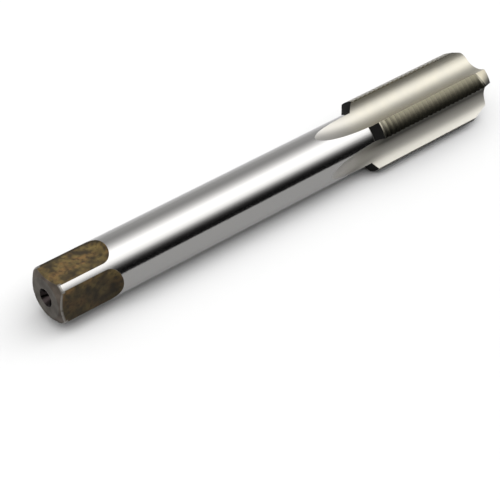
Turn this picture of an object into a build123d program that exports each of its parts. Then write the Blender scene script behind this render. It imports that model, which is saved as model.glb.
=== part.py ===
from build123d import *
import os
from math import acos, asin, cos, degrees, radians, sin, sqrt, tan

# A long-shank machine tap, ground from one bar of tool steel.
# X runs along the axis from the drive end to the cutting tip, and Z is up.
# The origin is the centre of the drive end, and the tap lies on two of its lands.

# Driving dimensions, in millimetres and degrees
overall_length = 172.0
shank_diameter = 18.0

thread_diameter = 24.2
thread_length = 52.1
rear_cone_length = 2.0
lead_length = 5.5
lead_angle = 20.0
lead_relief = 0.8

flute_count = 4
core_diameter = 12.2
land_width = 5.5
rake_angle = 10.0
heel_angle = 6.0
flute_wheel_radius = 90.0
flute_runout_start = 4.1

square_side_count = 4
square_across_flats = 14.0
square_length = 16.5
square_runout_radius = 6.0
square_turn = -7.0

end_chamfer_length = 1.3
end_chamfer_width = 2.8

centre_pilot_diameter = 2.5
centre_mouth_diameter = 5.8
centre_pilot_length = 2.6
centre_cone_angle = 60.0
centre_drill_point_angle = 118.0

# How far a cutter reaches past the metal that it clears
overrun = 2.0

# The turn between one axis of the cross-section and the next
quarter_turn = 90.0

# Sizes that follow from the driving ones
shank_radius = shank_diameter / 2
thread_radius = thread_diameter / 2
core_radius = core_diameter / 2
shoulder_x = overall_length - thread_length
lead_taper = tan(radians(lead_angle))
flute_pitch = 360 / flute_count
land_half_angle = degrees(asin(land_width / thread_diameter))


def polar(radius, angle):
    """A point of the cross-section at a radius and at an angle from the Y axis."""
    return Vector(radius * cos(radians(angle)), radius * sin(radians(angle)))


# The cross-section looks back from the tip, with Y across and Z up
section_plane = Plane(origin=(0, 0, 0), x_dir=(0, 1, 0), z_dir=(1, 0, 0))

# Turned blank: end chamfer, plain shank, and a head that steps up over a short cone
with BuildPart() as blank:
    with BuildSketch(Plane.XZ):
        with BuildLine():
            Polyline(
                (0, 0),
                (0, shank_radius - end_chamfer_width),
                (end_chamfer_length, shank_radius),
                (shoulder_x, shank_radius),
                (shoulder_x + rear_cone_length, thread_radius),
                (overall_length, thread_radius),
                (overall_length, 0),
                close=True,
            )
        make_face()
    revolve(axis=Axis.X)

# Flat cutter: a side mill whose rounded corner leaves the U-shaped end of each flat
flat_depth = shank_radius - square_across_flats / 2
flat_cutter_height = flat_depth + square_runout_radius
flat_end_x = square_length + square_runout_radius

with BuildPart() as flat_cutter:
    with BuildSketch(Plane.XZ):
        with Locations((flat_end_x, square_across_flats / 2)):
            Rectangle(flat_end_x + overrun, flat_cutter_height, align=(Align.MAX, Align.MIN))
        cutter_corner = vertices().group_by(Axis.X)[-1].sort_by(Axis.Y)[0]
        fillet(cutter_corner, square_runout_radius)
    extrude(amount=shank_radius, both=True)

# Flute section: a hooked rake face and a leaning heel face, joined by the floor arc that touches
# both faces and the core
half_gap = flute_pitch / 2 - land_half_angle
rake_direction = quarter_turn - half_gap + rake_angle
heel_direction = quarter_turn + half_gap + heel_angle
half_opening = (heel_direction - rake_direction) / 2
rake_corner = polar(thread_radius, quarter_turn - half_gap)
heel_corner = polar(thread_radius, quarter_turn + half_gap)
rake_outward = polar(1, rake_direction)
heel_outward = polar(1, heel_direction)

# The two faces would meet in an apex below the floor, at this distance down the rake face
flute_mouth = 2 * thread_radius * sin(radians(half_gap))
apex_depth = flute_mouth * cos(radians(half_gap + heel_angle)) / sin(radians(2 * half_opening))
apex = rake_corner - rake_outward * apex_depth

# The floor arc's centre lies on the middle line between the faces, its own radius above the core
middle_outward = polar(1, (rake_direction + heel_direction) / 2)
centre_term = apex.dot(middle_outward) - core_radius * sin(radians(half_opening))
spread_term = cos(radians(half_opening)) ** 2
root_term = sqrt(centre_term**2 - spread_term * (apex.length**2 - core_radius**2))
tangent_distance = (root_term - centre_term) / cos(radians(half_opening))
rake_tangent = apex + rake_outward * tangent_distance
heel_tangent = apex + heel_outward * tangent_distance
flute_reach = thread_radius

with BuildSketch() as flute_section:
    with BuildLine():
        rake_line = Line(rake_corner + rake_outward * flute_reach, rake_tangent)
        TangentArc(rake_tangent, heel_tangent, tangent=-rake_outward)
        heel_line = Line(heel_tangent, heel_corner + heel_outward * flute_reach)
        Line(heel_line @ 1, rake_line @ 0)
    make_face()

# Flute cutter: a straight pass, then the grinding wheel lifts out along its own rim into the shank
flute_full_x = shoulder_x + flute_runout_start
wheel_axis_height = core_radius + flute_wheel_radius
wheel_lift = wheel_axis_height - shank_radius - overrun
wheel_sweep = degrees(acos(wheel_lift / flute_wheel_radius))

with BuildPart() as flute_cutter:
    with BuildSketch(section_plane.offset(flute_full_x)):
        add(flute_section.sketch)
    extrude(amount=thread_length - flute_runout_start + overrun)
    with BuildSketch(section_plane.offset(flute_full_x)) as wheel_profile:
        add(flute_section.sketch)
    wheel_axis = Axis((flute_full_x, 0, wheel_axis_height), (0, 1, 0))
    revolve(wheel_profile.sketch, axis=wheel_axis, revolution_arc=wheel_sweep)

# Lead cutter: each land's taper is ground about an axis set over towards its cutting edge,
# so the metal falls away behind that edge
land_angle = quarter_turn + flute_pitch / 2
relief_offset = lead_relief / (2 * sin(radians(land_half_angle)))
relief_centre = polar(relief_offset, land_angle + quarter_turn)
cutting_corner = polar(thread_radius, land_angle + land_half_angle)
land_heel = polar(thread_radius, land_angle - land_half_angle)
lead_cutter_tip_radius = (cutting_corner - relief_centre).length - lead_length * lead_taper
lead_cutter_radius = (land_heel - relief_centre).length + overrun * lead_taper
lead_cutter_run = (lead_cutter_radius - lead_cutter_tip_radius) / lead_taper
lead_cutter_start_angle = land_angle - flute_pitch / 2
relief_origin = section_plane.from_local_coords(relief_centre)
lead_cutter_side = section_plane.from_local_coords(polar(1, lead_cutter_start_angle + quarter_turn))
lead_cutter_plane = Plane(origin=relief_origin, x_dir=(1, 0, 0), z_dir=lead_cutter_side)

with BuildPart() as lead_cutter:
    with BuildSketch(lead_cutter_plane):
        with BuildLine():
            Polyline(
                (overall_length - lead_cutter_run, lead_cutter_radius),
                (overall_length, lead_cutter_tip_radius),
                (overall_length + overrun, lead_cutter_tip_radius),
                (overall_length + overrun, lead_cutter_radius),
                close=True,
            )
        make_face()
    revolve(axis=Axis(relief_origin, (1, 0, 0)), revolution_arc=flute_pitch)

# Centre drill: a pilot with a drilled point below the cone that takes the lathe or grinder centre
pilot_radius = centre_pilot_diameter / 2
mouth_radius = centre_mouth_diameter / 2
cone_depth = (mouth_radius - pilot_radius) / tan(radians(centre_cone_angle / 2))
pilot_depth = cone_depth + centre_pilot_length
point_depth = pilot_depth + pilot_radius / tan(radians(centre_drill_point_angle / 2))

with BuildPart() as centre_drill:
    with BuildSketch(Plane.XZ):
        with BuildLine():
            Polyline(
                (0, 0),
                (mouth_radius, 0),
                (pilot_radius, -cone_depth),
                (pilot_radius, -pilot_depth),
                (0, -point_depth),
                close=True,
            )
        make_face()
    revolve(axis=Axis.Z)

# The tap: the blank with its drive square, flutes, relieved lead and centre holes
flat_pitch = 360 / square_side_count
flute_turns = [Location((0, 0, 0), (flute_pitch * turn, 0, 0)) for turn in range(flute_count)]
flat_turns = [
    Location((0, 0, 0), (square_turn + flat_pitch * side, 0, 0)) for side in range(square_side_count)
]
drive_end_plane = Plane(origin=(0, 0, 0), z_dir=(-1, 0, 0))
tip_plane = Plane(origin=(overall_length, 0, 0), z_dir=(1, 0, 0))

with BuildPart() as machine_tap:
    add(blank.part)
    with Locations(*flat_turns):
        add(flat_cutter.part, mode=Mode.SUBTRACT)
    with Locations(*flute_turns):
        add(flute_cutter.part, mode=Mode.SUBTRACT)
        add(lead_cutter.part, mode=Mode.SUBTRACT)
    with Locations(drive_end_plane, tip_plane):
        add(centre_drill.part, mode=Mode.SUBTRACT)

machine_tap.part.label = "machine_tap"

os.makedirs("parts", exist_ok=True)
export_step(machine_tap.part, "parts/machine_tap.step")
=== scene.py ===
from math import acos, asin, cos, pi, radians, sin, sqrt, tan

import bmesh
import bpy
from mathutils import Matrix, Quaternion, Vector


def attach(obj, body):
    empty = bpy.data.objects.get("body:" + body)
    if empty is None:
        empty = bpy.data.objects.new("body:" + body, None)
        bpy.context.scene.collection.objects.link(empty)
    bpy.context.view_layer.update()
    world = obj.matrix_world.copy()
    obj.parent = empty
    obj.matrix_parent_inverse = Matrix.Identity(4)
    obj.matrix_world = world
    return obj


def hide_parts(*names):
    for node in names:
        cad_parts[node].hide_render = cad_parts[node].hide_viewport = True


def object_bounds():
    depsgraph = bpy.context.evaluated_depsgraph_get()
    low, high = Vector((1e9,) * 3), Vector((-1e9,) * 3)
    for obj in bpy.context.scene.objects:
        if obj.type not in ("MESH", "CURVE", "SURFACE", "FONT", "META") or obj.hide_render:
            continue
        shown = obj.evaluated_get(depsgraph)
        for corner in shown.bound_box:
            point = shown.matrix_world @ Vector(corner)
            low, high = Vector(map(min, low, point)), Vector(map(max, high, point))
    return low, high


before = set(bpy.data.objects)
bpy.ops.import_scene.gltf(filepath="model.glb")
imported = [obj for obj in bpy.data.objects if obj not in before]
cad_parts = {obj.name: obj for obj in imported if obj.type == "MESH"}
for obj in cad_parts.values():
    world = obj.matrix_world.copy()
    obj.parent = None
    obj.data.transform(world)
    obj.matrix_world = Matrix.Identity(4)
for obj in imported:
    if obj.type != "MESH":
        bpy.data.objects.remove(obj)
cad_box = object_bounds()

# The tap
# One bar of high-speed steel, turned, milled square, hardened, and ground between its centres. The
# wheel leaves the shank, flutes and thread bright; the square keeps the scale of the hardening.

# Lengths are millimetres as far as the floor, with X along the axis and the drive end at zero
millimetre = 0.001
quarter_turn = pi / 2
quarter_turns = [quarter_turn * number for number in range(4)]
cutter_overlap = 2.0
merge_distance = 0.0005
overall_length = 172.0
shank_radius = 9.0
thread_radius = 12.1
core_radius = 6.1
shoulder_x = 119.9
rear_cone_length = 2.0
end_chamfer_length = 1.3
end_chamfer_width = 2.8
centre_pilot_radius = 1.25
centre_pilot_length = 2.6
centre_mouth_radius = 2.9
centre_cone_angle = radians(60)
centre_point_angle = radians(118)
centre_cone_depth = (centre_mouth_radius - centre_pilot_radius) / tan(centre_cone_angle / 2)
centre_pilot_depth = centre_cone_depth + centre_pilot_length
centre_point_depth = centre_pilot_depth + centre_pilot_radius / tan(centre_point_angle / 2)
round_steps = 192
ring_spacing = 6.0
edge_round = 0.6
edge_round_steps = 6

# Turned blank, spun from its profile
blank_corners = [
    (centre_point_depth, 0),
    (centre_pilot_depth, centre_pilot_radius),
    (centre_cone_depth, centre_pilot_radius),
    (0, centre_mouth_radius),
    (0, shank_radius - end_chamfer_width),
    (end_chamfer_length, shank_radius),
    (shoulder_x, shank_radius),
    (shoulder_x + rear_cone_length, thread_radius),
    (overall_length, thread_radius),
    (overall_length, centre_mouth_radius),
    (overall_length - centre_cone_depth, centre_pilot_radius),
    (overall_length - centre_pilot_depth, centre_pilot_radius),
    (overall_length - centre_point_depth, 0),
]
blank_profile = [blank_corners[0]]
for (start_x, start_r), (end_x, end_r) in zip(blank_corners, blank_corners[1:]):
    pieces = max(1, round(abs(end_x - start_x) / ring_spacing))
    for piece in range(1, pieces + 1):
        share = piece / pieces
        blank_profile.append((start_x + (end_x - start_x) * share, start_r + (end_r - start_r) * share))

tap_bm = bmesh.new()
profile_verts = [tap_bm.verts.new((x, 0, r)) for x, r in blank_profile]
for start_vert, end_vert in zip(profile_verts, profile_verts[1:]):
    tap_bm.edges.new((start_vert, end_vert))
chamfer_corner = profile_verts[blank_profile.index((end_chamfer_length, shank_radius))]
bmesh.ops.bevel(
    tap_bm,
    geom=[chamfer_corner],
    offset=edge_round,
    offset_type="OFFSET",
    affect="VERTICES",
    segments=edge_round_steps,
    profile=0.5,
    material=-1,
)
bmesh.ops.spin(
    tap_bm,
    geom=tap_bm.verts[:] + tap_bm.edges[:],
    cent=(0, 0, 0),
    axis=(1, 0, 0),
    angle=2 * pi,
    steps=round_steps,
    use_merge=True,
)
bmesh.ops.remove_doubles(tap_bm, verts=tap_bm.verts[:], dist=merge_distance)
bmesh.ops.recalc_face_normals(tap_bm, faces=tap_bm.faces[:])

cutters = []

# Four side-milled flats of the square, each with the round run-out that the mill leaves
square_across_flats = 14.0
square_length = 16.5
square_runout_radius = 6.0
square_turn = radians(-7)
flat_half_width = 6.5
flat_arc_steps = 20
flat_outline = [(-cutter_overlap, square_across_flats / 2)]
for step in range(flat_arc_steps + 1):
    angle = quarter_turn * step / flat_arc_steps
    arc_x = square_length + square_runout_radius * sin(angle)
    arc_z = square_across_flats / 2 + square_runout_radius * (1 - cos(angle))
    flat_outline.append((arc_x, arc_z))
flat_outline.append((-cutter_overlap, square_across_flats / 2 + square_runout_radius))
flats_bm = bmesh.new()
for turn in quarter_turns:
    near_verts = [flats_bm.verts.new((x, -flat_half_width, z)) for x, z in flat_outline]
    near_face = flats_bm.faces.new(near_verts)
    mill_pass = bmesh.ops.extrude_face_region(flats_bm, geom=[near_face], use_keep_orig=True)
    far_verts = [item for item in mill_pass["geom"] if isinstance(item, bmesh.types.BMVert)]
    bmesh.ops.translate(flats_bm, verts=far_verts, vec=(0, 2 * flat_half_width, 0))
    to_flat = Matrix.Rotation(square_turn + turn, 3, "X")
    bmesh.ops.rotate(flats_bm, verts=near_verts + far_verts, cent=(0, 0, 0), matrix=to_flat)
cutters.append(flats_bm)

# Four lead cutters: each grinds one land's taper about an axis set over towards the cutting edge
lead_length = 5.5
lead_angle = radians(20)
lead_taper = tan(lead_angle)
lead_relief = 0.8
land_width = 5.5
land_half_angle = asin(land_width / (2 * thread_radius))
relief_offset = lead_relief / (2 * sin(land_half_angle))
land_angle = radians(135)
relief_y = relief_offset * cos(land_angle + quarter_turn)
relief_z = relief_offset * sin(land_angle + quarter_turn)
corner_y = thread_radius * cos(land_angle + land_half_angle) - relief_y
corner_z = thread_radius * sin(land_angle + land_half_angle) - relief_z
heel_y = thread_radius * cos(land_angle - land_half_angle) - relief_y
heel_z = thread_radius * sin(land_angle - land_half_angle) - relief_z
lead_tip_radius = sqrt(corner_y**2 + corner_z**2) - lead_length * lead_taper
lead_top_radius = sqrt(heel_y**2 + heel_z**2) + cutter_overlap * lead_taper
lead_run = (lead_top_radius - lead_tip_radius) / lead_taper
lead_steps = 48
lead_outline = [
    (overall_length - lead_run, lead_top_radius),
    (overall_length, lead_tip_radius),
    (overall_length + cutter_overlap, lead_tip_radius),
    (overall_length + cutter_overlap, lead_top_radius),
]
to_side = Matrix.Rotation(quarter_turn, 3, "X")
for turn in quarter_turns:
    lead_bm = bmesh.new()
    lead_verts = [lead_bm.verts.new((x, r, 0)) for x, r in lead_outline]
    lead_bm.faces.new(lead_verts)
    bmesh.ops.rotate(lead_bm, verts=lead_verts, cent=(0, 0, 0), matrix=to_side)
    bmesh.ops.spin(
        lead_bm,
        geom=lead_bm.verts[:] + lead_bm.edges[:] + lead_bm.faces[:],
        cent=(0, 0, 0),
        axis=(1, 0, 0),
        angle=quarter_turn,
        steps=lead_steps,
    )
    bmesh.ops.translate(lead_bm, verts=lead_bm.verts[:], vec=(0, relief_y, relief_z))
    to_land = Matrix.Rotation(turn, 3, "X")
    bmesh.ops.rotate(lead_bm, verts=lead_bm.verts[:], cent=(0, 0, 0), matrix=to_land)
    cutters.append(lead_bm)

# A ring that rounds the tip's edge, a hair outside the end face
end_radius = thread_radius - lead_length * lead_taper
end_clearance = 0.02
tip_round = 2.2
tip_round_start_x = overall_length - lead_length / 2
ring_outline = [
    (tip_round_start_x, end_radius + lead_taper * lead_length / 2 + end_clearance),
    (overall_length + end_clearance, end_radius + end_clearance),
    (overall_length + end_clearance, core_radius),
    (overall_length + cutter_overlap, core_radius),
    (overall_length + cutter_overlap, thread_radius + cutter_overlap),
    (tip_round_start_x, thread_radius + cutter_overlap),
]
ring_bm = bmesh.new()
ring_verts = [ring_bm.verts.new((x, 0, r)) for x, r in ring_outline]
for start_vert, end_vert in zip(ring_verts, ring_verts[1:] + ring_verts[:1]):
    ring_bm.edges.new((start_vert, end_vert))
tip_corner = ring_verts[1]
bmesh.ops.bevel(
    ring_bm,
    geom=[tip_corner],
    offset=tip_round,
    offset_type="OFFSET",
    affect="VERTICES",
    segments=edge_round_steps,
    profile=0.5,
    material=-1,
)
bmesh.ops.spin(
    ring_bm,
    geom=ring_bm.verts[:] + ring_bm.edges[:],
    cent=(0, 0, 0),
    axis=(1, 0, 0),
    angle=2 * pi,
    steps=round_steps,
    use_merge=True,
)
cutters.append(ring_bm)

# Four flute wheels: each leaves a hooked rake face and a leaning heel face, joined by a floor arc
# that touches the core. It runs straight along the head and then lifts out into the shank.
rake_angle = radians(10)
heel_angle = radians(6)
half_gap = quarter_turn / 2 - land_half_angle
rake_direction = quarter_turn - half_gap + rake_angle
heel_direction = quarter_turn + half_gap + heel_angle
half_opening = (heel_direction - rake_direction) / 2
rake_outward = Vector((cos(rake_direction), sin(rake_direction)))
heel_outward = Vector((cos(heel_direction), sin(heel_direction)))
rake_corner = Vector((sin(half_gap), cos(half_gap))) * thread_radius
heel_corner = Vector((-sin(half_gap), cos(half_gap))) * thread_radius
flute_mouth = rake_corner.x - heel_corner.x
apex_depth = flute_mouth * cos(half_gap + heel_angle) / sin(2 * half_opening)
apex = rake_corner - rake_outward * apex_depth
middle_outward = (rake_outward + heel_outward).normalized()
centre_term = apex.dot(middle_outward) - core_radius * sin(half_opening)
spread_term = cos(half_opening) ** 2
root_term = sqrt(centre_term**2 - spread_term * (apex.length_squared - core_radius**2))
tangent_distance = (root_term - centre_term) / cos(half_opening)
floor_radius = tangent_distance * tan(half_opening)
floor_centre = apex + middle_outward * (tangent_distance / cos(half_opening))
floor_middle = (rake_direction + heel_direction) / 2 + pi
floor_sweep = pi - 2 * half_opening
floor_steps = 28
flute_reach = 2.5
flute_section = [rake_corner + rake_outward * flute_reach]
for step in range(floor_steps + 1):
    angle = floor_middle + floor_sweep * (0.5 - step / floor_steps)
    flute_section.append(floor_centre + Vector((cos(angle), sin(angle))) * floor_radius)
flute_section.append(heel_corner + heel_outward * flute_reach)
flute_runout_start = 4.1
flute_full_x = shoulder_x + flute_runout_start
flute_wheel_radius = 90.0
wheel_axis_height = core_radius + flute_wheel_radius
wheel_sweep = acos((wheel_axis_height - shank_radius - cutter_overlap) / flute_wheel_radius)
wheel_steps = 40
straight_run = overall_length + cutter_overlap - flute_full_x
for turn in quarter_turns:
    flute_bm = bmesh.new()
    section_verts = [flute_bm.verts.new((flute_full_x, point.x, point.y)) for point in flute_section]
    section_face = flute_bm.faces.new(section_verts)
    bmesh.ops.spin(
        flute_bm,
        geom=flute_bm.verts[:] + flute_bm.edges[:] + flute_bm.faces[:],
        cent=(flute_full_x, 0, wheel_axis_height),
        axis=(0, 1, 0),
        angle=wheel_sweep,
        steps=wheel_steps,
    )
    straight_pass = bmesh.ops.extrude_face_region(flute_bm, geom=[section_face])
    tip_verts = [item for item in straight_pass["geom"] if isinstance(item, bmesh.types.BMVert)]
    bmesh.ops.translate(flute_bm, verts=tip_verts, vec=(straight_run, 0, 0))
    bmesh.ops.delete(flute_bm, geom=[section_face], context="FACES_ONLY")
    to_flute = Matrix.Rotation(turn, 3, "X")
    bmesh.ops.rotate(flute_bm, verts=flute_bm.verts[:], cent=(0, 0, 0), matrix=to_flute)
    cutters.append(flute_bm)

# Thread cutter: a trapezoid groove wound along a right-hand helix from the shoulder past the tip
thread_pitch = 2.0
groove_root_radius = 11.7
groove_top_radius = 12.25
groove_root_width = 0.3
groove_flank = radians(50)
groove_depth = groove_top_radius - groove_root_radius
groove_top_width = groove_root_width + 2 * groove_depth * tan(groove_flank)
helix_steps = 96
helix_start_x = shoulder_x - thread_pitch / 2
helix_turns = (overall_length + cutter_overlap - helix_start_x) / thread_pitch
helix_step_count = round(helix_turns * helix_steps)
groove_bm = bmesh.new()
groove_outline = [
    (helix_start_x - groove_root_width / 2, groove_root_radius),
    (helix_start_x + groove_root_width / 2, groove_root_radius),
    (helix_start_x + groove_top_width / 2, groove_top_radius),
    (helix_start_x - groove_top_width / 2, groove_top_radius),
]
groove_verts = [groove_bm.verts.new((x, 0, r)) for x, r in groove_outline]
groove_bm.faces.new(groove_verts)
bmesh.ops.spin(
    groove_bm,
    geom=groove_bm.verts[:] + groove_bm.edges[:] + groove_bm.faces[:],
    cent=(0, 0, 0),
    axis=(1, 0, 0),
    dvec=(thread_pitch / helix_steps, 0, 0),
    angle=2 * pi * helix_step_count / helix_steps,
    steps=helix_step_count,
)
cutters.append(groove_bm)

# The blank with every cutter's pass taken out of it, one after the other
tap_mesh = bpy.data.meshes.new("tap")
tap_bm.to_mesh(tap_mesh)
tap_bm.free()
tap = bpy.data.objects.new("tap", tap_mesh)
bpy.context.scene.collection.objects.link(tap)
cutter_meshes = []
for number, cutter_bm in enumerate(cutters):
    bmesh.ops.recalc_face_normals(cutter_bm, faces=cutter_bm.faces[:])
    cutter_mesh = bpy.data.meshes.new(f"cutter_{number}")
    cutter_bm.to_mesh(cutter_mesh)
    cutter_bm.free()
    cutter = bpy.data.objects.new(f"cutter_{number}", cutter_mesh)
    bpy.context.scene.collection.objects.link(cutter)
    cutter_meshes.append(cutter_mesh)
    cut = tap.modifiers.new(f"cut_{number}", "BOOLEAN")
    cut.operation = "DIFFERENCE"
    cut.solver = "MANIFOLD"
    cut.object = cutter
finished = tap.evaluated_get(bpy.context.evaluated_depsgraph_get())
cut_mesh = bpy.data.meshes.new_from_object(finished)
tap.modifiers.clear()
tap.data = cut_mesh
for used_mesh in cutter_meshes + [tap_mesh]:
    bpy.data.meshes.remove(used_mesh)
shape_bm = bmesh.new()
shape_bm.from_mesh(cut_mesh)
bmesh.ops.remove_doubles(shape_bm, verts=shape_bm.verts[:], dist=merge_distance)
bmesh.ops.scale(shape_bm, verts=shape_bm.verts[:], vec=(millimetre, millimetre, millimetre))
for face in shape_bm.faces:
    face.smooth = True
shape_bm.to_mesh(cut_mesh)
shape_bm.free()
sharp_angle = radians(14)
cut_mesh.set_sharp_from_angle(angle=sharp_angle)

# The steel's finish
# Bright and neutral where the shank was ground, satin in the flutes, and stained olive on the lands.
# The square and the drive end keep the dark scale of the hardening. The cones behind the lands are dark
# oxide painted near black as painted shade.
steel = bpy.data.materials.new("tool_steel")
steel.use_nodes = True
nodes = steel.node_tree.nodes
links = steel.node_tree.links
shader = nodes["Principled BSDF"]
shader.inputs["Specular IOR Level"].default_value = 0.15


def calculate(operation, *values):
    """One step of arithmetic on numbers or on other nodes' outputs."""
    step = nodes.new("ShaderNodeMath")
    step.operation = operation
    for socket, value in zip(step.inputs, values):
        if isinstance(value, bpy.types.NodeSocket):
            links.new(value, socket)
        else:
            socket.default_value = value
    return step.outputs["Value"]


def both(*factors):
    """The product of some factors and, where one is given, of a strength."""
    product = factors[0]
    for factor in factors[1:]:
        product = calculate("MULTIPLY", product, factor)
    return product


def fade(source, start, end):
    """A factor that goes from 0 to 1 as the source goes from start to end."""
    ramp = nodes.new("ShaderNodeMapRange")
    ramp.inputs["From Min"].default_value = start
    ramp.inputs["From Max"].default_value = end
    links.new(source, ramp.inputs["Value"])
    return ramp.outputs["Result"]


def blend(factor, first, second):
    """A colour, or a number taken as a grey, that gives way to another as the factor goes to 1."""
    mix = nodes.new("ShaderNodeMix")
    mix.data_type = "RGBA"
    links.new(factor, mix.inputs["Factor"])
    ends = [socket for socket in mix.inputs if socket.enabled and socket.name in ("A", "B")]
    for socket, item in zip(ends, (first, second)):
        if isinstance(item, bpy.types.NodeSocket):
            links.new(item, socket)
        elif isinstance(item, tuple):
            socket.default_value = (*item, 1)
        else:
            socket.default_value = (item, item, item, 1)
    return next(socket for socket in mix.outputs if socket.enabled)


# Places on the bar in millimetres: along it, across it, up it, and out from its axis
place = nodes.new("ShaderNodeVectorMath")
place.operation = "SCALE"
place.inputs["Scale"].default_value = 1 / millimetre
links.new(nodes.new("ShaderNodeTexCoord").outputs["Object"], place.inputs["Vector"])
split = nodes.new("ShaderNodeSeparateXYZ")
links.new(place.outputs["Vector"], split.inputs["Vector"])
along, side, height = split.outputs["X"], split.outputs["Y"], split.outputs["Z"]
side_squared = calculate("MULTIPLY", side, side)
from_axis = calculate("SQRT", calculate("MULTIPLY_ADD", height, height, side_squared))
half_flute = quarter_turn / 2
around_bar = calculate("WRAP", calculate("ARCTAN2", height, side), half_flute, -half_flute)
across_flute = calculate("MULTIPLY", from_axis, calculate("SINE", around_bar))


def grain(fineness, detail, stretch=(1, 1, 1)):
    """A noise pattern with so many patches to the millimetre, closer together along some axes."""
    stretched = nodes.new("ShaderNodeMapping")
    stretched.inputs["Scale"].default_value = stretch
    links.new(place.outputs["Vector"], stretched.inputs["Vector"])
    noise = nodes.new("ShaderNodeTexNoise")
    noise.inputs["Scale"].default_value = fineness
    noise.inputs["Detail"].default_value = detail
    links.new(stretched.outputs["Vector"], noise.inputs["Vector"])
    return noise.outputs["Fac"]


# Where each finish lies. Flats and flutes are inside the round of the shank, and the painted light and
# shade on the flutes starts from a little before the head.
shank_skin = 0.01
scale_end_x = 25.0
runout_start_x = 60.0
flute_tone_start_x = 112.0
flute_tone_full_x = 126.0
step_fade = 0.2
inside_shank = fade(from_axis, shank_radius - shank_skin, shank_radius - 4 * shank_skin)
scale_area = both(inside_shank, fade(along, scale_end_x, scale_end_x - 1.0))
runout_area = both(inside_shank, fade(along, runout_start_x, runout_start_x + 2.0))
head_area = fade(along, shoulder_x - step_fade, shoulder_x)
painted_flute_light_area = fade(along, flute_tone_start_x, flute_tone_full_x)
lower_flutes = both(painted_flute_light_area, fade(height, 4.5, 3.5))
front_heel = both(painted_flute_light_area, fade(height, 5.5, 8.0), fade(side, 0.0, -4.0))

# The lands: their first crest and grooves, the cutting edge of the front one's lead, and the lands on
# top and below. The two angles are radians from a flute's middle, on either side of a land's edge.
thread_start_x = shoulder_x + rear_cone_length
first_crest_x = thread_start_x + 0.4
second_crest_x = thread_start_x + 2.6
shaded_groove_x = thread_start_x + 3.0
unshaded_groove_x = thread_start_x + 9.0
lead_start_x = overall_length - lead_length
groove_margin = 0.1
land_foot = groove_root_radius - groove_margin
flute_side_angle = 0.54
land_side_angle = 0.57
thread_area = fade(along, thread_start_x - step_fade, thread_start_x)
land_area = both(thread_area, fade(from_axis, land_foot - groove_margin, land_foot))
first_crest = fade(along, second_crest_x, first_crest_x)
in_groove = fade(from_axis, thread_radius - groove_margin, groove_root_radius + groove_margin)
first_grooves = both(fade(along, unshaded_groove_x, shaded_groove_x), in_groove)
beyond_flute = fade(calculate("ABSOLUTE", around_bar), flute_side_angle, land_side_angle)
on_lead = both(fade(along, lead_start_x, lead_start_x + 1.5), beyond_flute)
front_edge = both(on_lead, fade(height, 8.6, 6.4), fade(side, -4.5, -6.5))
top_land = both(fade(side, -2.0, 2.0), fade(height, 2.0, 6.0))
lower_lands = fade(height, 0.0, -4.0)

# The rear cones, where the radius keeps step with the place along the bar
cone_slope = (thread_radius - shank_radius) / rear_cone_length
cone_foot = shank_radius - cone_slope * shoulder_x
cone_skin = 0.06
cone_radius = calculate("MULTIPLY_ADD", along, cone_slope, cone_foot)
off_cone = calculate("ABSOLUTE", calculate("SUBTRACT", from_axis, cone_radius))
before_thread = fade(along, thread_start_x + 0.1, thread_start_x)
cone_area = both(head_area, before_thread, fade(off_cone, 2 * cone_skin, cone_skin))

# The drive end: its face, its chamfer, its centre hole, and how far a place lies from the axis when
# that is measured square to the nearest flat
chamfer_slope = end_chamfer_width / end_chamfer_length
chamfer_foot = shank_radius - end_chamfer_width
end_skin = 0.06
hole_end_x = 9.0
chamfer_radius = calculate("MULTIPLY_ADD", along, chamfer_slope, chamfer_foot)
under_chamfer = calculate("SUBTRACT", chamfer_radius, from_axis)
on_chamfer = fade(along, end_chamfer_length + edge_round, end_chamfer_length + step_fade)
chamfer_area = both(on_chamfer, fade(under_chamfer, 0.15, 0.08))
end_face_area = fade(along, 2 * end_skin, end_skin)
in_mouth = fade(from_axis, centre_mouth_radius + 0.05, centre_mouth_radius - 0.02)
hole_area = both(in_mouth, fade(along, hole_end_x + 1.0, hole_end_x))
square_height = calculate("MULTIPLY", height, cos(square_turn))
square_side = calculate("MULTIPLY", side, cos(square_turn))
up_square = calculate("MULTIPLY_ADD", side, -sin(square_turn), square_height)
over_square = calculate("MULTIPLY_ADD", height, sin(square_turn), square_side)
from_middle = calculate("MAXIMUM", calculate("ABSOLUTE", up_square), calculate("ABSOLUTE", over_square))

# Scale: olive and red-brown oxide in patches with darker flecks, and thin and grey on the end face and
# its chamfer. Painted shade darkens it towards the flats' edges and on the lower side.
dark_scale = (0.016, 0.011, 0.004)
olive_scale = (0.092, 0.065, 0.021)
red_scale = (0.098, 0.046, 0.015)
fleck_scale = (0.020, 0.013, 0.005)
painted_shade_scale = (0.008, 0.006, 0.003)
dark_chamfer = (0.034, 0.027, 0.021)
grey_chamfer = (0.076, 0.062, 0.050)
dark_end_face = (0.044, 0.038, 0.032)
grey_end_face = (0.078, 0.070, 0.060)
rust_strength = 0.7
rim_shade_strength = 0.8
lower_shade_strength = 0.62
patches =fade(grain(0.34, 1.2), 0.30, 0.68)
rust = fade(grain(0.28, 1.2, (1.0, 1.3, 1.3)), 0.44, 0.68)
flecks = fade(grain(0.75, 1.8), 0.45, 0.76)
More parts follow.
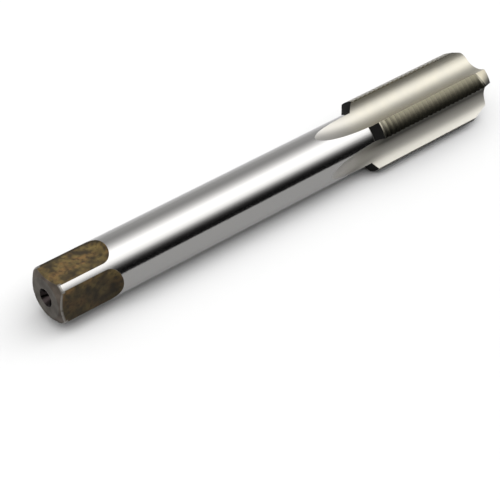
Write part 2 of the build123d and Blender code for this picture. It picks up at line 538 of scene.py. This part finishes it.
# Painted shade: the scale is darker near the round on the +Y side of the flats and below the top flat
flat_rim_shade = both(fade(from_axis, shank_radius - 1.0, shank_radius - 0.4), fade(side, 0.0, 3.0))
lower_side_shade = fade(height, 5.5, 2.5)
scale_colour = blend(patches, dark_scale, olive_scale)
scale_colour = blend(both(rust, patches, rust_strength), scale_colour, red_scale)
scale_colour = blend(flecks, scale_colour, fleck_scale)
scale_colour = blend(both(flat_rim_shade, flat_rim_shade, rim_shade_strength), scale_colour, painted_shade_scale)
scale_colour = blend(both(lower_side_shade, lower_shade_strength), scale_colour, painted_shade_scale)
chamfer_colour = blend(patches, dark_chamfer, grey_chamfer)
end_colour = blend(patches, dark_end_face, grey_end_face)
scale_colour = blend(chamfer_area, scale_colour, chamfer_colour)
scale_colour = blend(end_face_area, scale_colour, end_colour)

# The edges between the chamfer, the flats and the round corners that handling has rubbed bright
flat_height = square_across_flats / 2
rubbed = fade(grain(0.7, 2.0), 0.25, 0.45)
beside_chamfer = both(fade(under_chamfer, 1.6, 0.3), fade(height, 6.2, 5.0), rubbed)
flat_edge = both(beside_chamfer, fade(from_middle, flat_height - 0.25, flat_height - 0.12))
corner_edge = fade(from_axis, shank_radius - 0.55, shank_radius - 0.30)
worn_area = both(calculate("MAXIMUM", flat_edge, corner_edge), fade(along, 2.4, 2.1), inside_shank)

# Ground steel: faintly patchy in the flutes, with painted shade on the lower flutes' rake side that
# gives way to a painted sheen towards their heels, and a warmer tone with a painted sheen on the front
# land's heel side. The lands have a thin stain, with a painted highlight on the first crest, painted
# light on the top land, and painted shade in the rear grooves, on the lower lands and at the cutting
# edge of the front lead.
ground_colour = (0.272, 0.268, 0.262)
heel_tint_and_painted_sheen = (0.318, 0.292, 0.226)
painted_flute_shade = (0.062, 0.059, 0.052)
painted_flute_sheen = (0.500, 0.484, 0.440)
groove_painted_shade = (0.028, 0.025, 0.018)
top_land_painted_light = (0.240, 0.228, 0.195)
lower_land_painted_shade = (0.038, 0.037, 0.034)
front_lead_painted_shade = (0.030, 0.028, 0.024)
cone_oxide_and_painted_shade = (0.002, 0.0018, 0.0015)
worn_colour = (0.165, 0.156, 0.143)
hole_painted_shade = (0.014, 0.011, 0.011)
runout_colour = (0.285, 0.275, 0.258)
dark_flute = (0.270, 0.259, 0.224)
light_flute = (0.290, 0.275, 0.232)
land_stain = (0.100, 0.093, 0.068)
first_crest_painted_highlight = (0.185, 0.174, 0.140)
groove_shade_strength = 0.55
clouds = fade(grain(0.22, 3.0), 0.35, 0.65)
flute_colour = blend(clouds, dark_flute, light_flute)
flute_colour = blend(fade(along, 104.0, flute_tone_full_x), runout_colour, flute_colour)
# Painted shade on the lower flutes' rake side, giving way to a painted sheen towards their heels
lower_flute_painted_light = blend(fade(across_flute, 0.0, 4.6), painted_flute_shade, painted_flute_sheen)
flute_colour = blend(lower_flutes, flute_colour, lower_flute_painted_light)
# A warmer tone and a painted sheen on the front land's heel side
flute_colour = blend(front_heel, flute_colour, heel_tint_and_painted_sheen)
# Painted highlight on the first crest
land_colour = blend(first_crest, land_stain, first_crest_painted_highlight)
# Painted shade in the rear grooves of the thread
land_colour = blend(both(first_grooves, groove_shade_strength), land_colour, groove_painted_shade)
# Painted light on the land on top
land_colour = blend(top_land, land_colour, top_land_painted_light)
# Painted shade on the lower lands
land_colour = blend(lower_lands, land_colour, lower_land_painted_shade)
colour = blend(runout_area, ground_colour, flute_colour)
colour = blend(head_area, colour, flute_colour)
colour = blend(land_area, colour, land_colour)
# Painted shade at the cutting edge of the front land's lead
colour = blend(front_edge, colour, front_lead_painted_shade)
# The rear cones: dark oxide, painted near black as painted shade
colour = blend(cone_area, colour, cone_oxide_and_painted_shade)
colour = blend(scale_area, colour, scale_colour)
colour = blend(worn_area, colour, worn_colour)
# Painted shade: the inside of the centre hole is darkened nearly to black
colour = blend(hole_area, colour, hole_painted_shade)
links.new(colour, shader.inputs["Base Color"])

# How rough each finish is, a little unevenly, and which of them are bare metal and not scale
shank_roughness = 0.13
flute_roughness = 0.42
lower_flute_roughness = 0.60
land_roughness = 0.20
cone_roughness = 0.75
scale_roughness = 0.60
worn_roughness = 0.35
hole_roughness = 0.14
roughness_range = 0.04
roughness = blend(runout_area, shank_roughness, flute_roughness)
roughness = blend(head_area, roughness, flute_roughness)
roughness = blend(lower_flutes, roughness, lower_flute_roughness)
roughness = blend(land_area, roughness, land_roughness)
roughness = blend(cone_area, roughness, cone_roughness)
roughness = blend(scale_area, roughness, scale_roughness)
roughness = blend(worn_area, roughness, worn_roughness)
roughness = blend(hole_area, roughness, hole_roughness)
unevenness = calculate("MULTIPLY_ADD", grain(0.65, 3.0), roughness_range, -roughness_range / 2)
links.new(calculate("ADD", roughness, unevenness), shader.inputs["Roughness"])
bare_steel = blend(cone_area, 1.0, 0.0)
bare_steel = blend(scale_area, bare_steel, 0.0)
bare_steel = blend(worn_area, bare_steel, 1.0)
bare_steel = blend(hole_area, bare_steel, 1.0)
links.new(bare_steel, shader.inputs["Metallic"])

# Grinding marks run round the shank and along the flutes, and the scale is pitted
mark_depth = 0.006
pit_ratio = 9.0
round_stretch = (3.0, 0.6, 0.6)
flute_stretch = (0.05, 1.0, 1.0)
round_marks = calculate("ADD", grain(0.9, 3.0, round_stretch), grain(1.4, 2.0))
flute_marks = grain(1.3, 3.0, flute_stretch)
pits = calculate("MULTIPLY", grain(1.5, 4.0), pit_ratio)
marks = blend(runout_area, round_marks, flute_marks)
marks = blend(head_area, marks, flute_marks)
marks = blend(scale_area, marks, pits)
relief = nodes.new("ShaderNodeBump")
relief.inputs["Distance"].default_value = mark_depth * millimetre
links.new(marks, relief.inputs["Height"])
links.new(relief.outputs["Normal"], shader.inputs["Normal"])
tap.data.materials.clear()
tap.data.materials.append(steel)

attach(tap, "root")
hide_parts("machine_tap")

# The floor
# A sheet of pale matt paper, larger than the picture. The tap lies on it with two of its lands, so
# it is level with the bottom of the whole tap.
floor_reach = 6.0
floor_height = cad_box[0].z
floor_bm = bmesh.new()
bmesh.ops.create_grid(floor_bm, x_segments=1, y_segments=1, size=floor_reach)
bmesh.ops.translate(floor_bm, verts=floor_bm.verts[:], vec=(0, 0, floor_height))
floor_mesh = bpy.data.meshes.new("floor")
floor_bm.to_mesh(floor_mesh)
floor_bm.free()
floor = bpy.data.objects.new("floor", floor_mesh)
bpy.context.scene.collection.objects.link(floor)
paper = bpy.data.materials.new("pale_paper")
paper.use_nodes = True
paper_shader = paper.node_tree.nodes["Principled BSDF"]
paper_shader.inputs["Base Color"].default_value = (0.47, 0.47, 0.47, 1)
paper_shader.inputs["Roughness"].default_value = 0.9
paper_shader.inputs["Specular IOR Level"].default_value = 0.2
floor.data.materials.append(paper)

# Studio light
# A soft tent that runs the length of the tap: a pale wall behind it, a bright soft box overhead and
# a dark opening on the camera's side. Its brightness changes with the angle about the tap's axis.
tent = bpy.data.worlds.new("light_tent")
bpy.context.scene.world = tent
tent.use_nodes = True
tent_nodes = tent.node_tree.nodes
tent_links = tent.node_tree.links
tent_place = tent_nodes.new("ShaderNodeTexCoord")
tent_axes = tent_nodes.new("ShaderNodeSeparateXYZ")
tent_links.new(tent_place.outputs["Generated"], tent_axes.inputs["Vector"])
around = tent_nodes.new("ShaderNodeMath")
around.operation = "ARCTAN2"
tent_links.new(tent_axes.outputs["Z"], around.inputs[0])
tent_links.new(tent_axes.outputs["Y"], around.inputs[1])
half_turn = tent_nodes.new("ShaderNodeMath")
half_turn.operation = "DIVIDE"
half_turn.inputs[1].default_value = pi
tent_links.new(around.outputs["Value"], half_turn.inputs[0])
wall_to_opening = tent_nodes.new("ShaderNodeValToRGB")

# The brightness at so many degrees about the axis, from level behind the tap, over the top, to level
# in front of it. The tent is dark at its end past the square.
half_turn_degrees = 180
soft_box_brightness = 4.2
dark_end_brightness = 0.02
dark_end_x = -0.9
lit_end_x = -0.7
tent_stops = (
    (0, 0.95),
    (38, 0.80),
    (50, 1.1),
    (62, 1.7),
    (74, 2.7),
    (84, 3.8),
    (92, 4.2),
    (112, 4.0),
    (126, 3.0),
    (134, 1.6),
    (144, 0.42),
    (154, 0.06),
    (164, 0.012),
    (180, 0.012),
)
stops = wall_to_opening.color_ramp.elements
for angle, _ in tent_stops[1:-1]:
    stops.new(angle / half_turn_degrees)
for stop, (angle, brightness) in zip(stops, tent_stops):
    share = brightness / soft_box_brightness
    stop.color = (share, share, share, 1)
tent_links.new(half_turn.outputs["Value"], wall_to_opening.inputs["Fac"])
end_fade = tent_nodes.new("ShaderNodeMapRange")
end_fade.interpolation_type = "SMOOTHSTEP"
end_fade.inputs["From Min"].default_value = dark_end_x
end_fade.inputs["From Max"].default_value = lit_end_x
end_fade.inputs["To Min"].default_value = dark_end_brightness
end_fade.inputs["To Max"].default_value = soft_box_brightness
tent_links.new(tent_axes.outputs["X"], end_fade.inputs["Value"])
background = tent_nodes["Background"]
tent_links.new(wall_to_opening.outputs["Color"], background.inputs["Color"])
tent_links.new(end_fade.outputs["Result"], background.inputs["Strength"])

# Camera
# Solved from the shank's two outlines: it looks down along the tap from behind the drive end.
camera_data = bpy.data.cameras.new("camera")
camera_data.lens = 122.4
camera_data.sensor_width = 36.0
camera_data.clip_start = 0.01
camera = bpy.data.objects.new("camera", camera_data)
camera.location = (-0.191626, -0.281013, 0.343942)
aim = Vector((0.0662768, -0.0120608, -0.0091858))
roll = radians(5.4342)
look = (aim - camera.location).to_track_quat("-Z", "Y")
camera.rotation_mode = "QUATERNION"
camera.rotation_quaternion = look @ Quaternion((0, 0, 1), roll)
bpy.context.scene.collection.objects.link(camera)
bpy.context.scene.camera = camera
bpy.context.scene.view_settings.view_transform = "Standard"
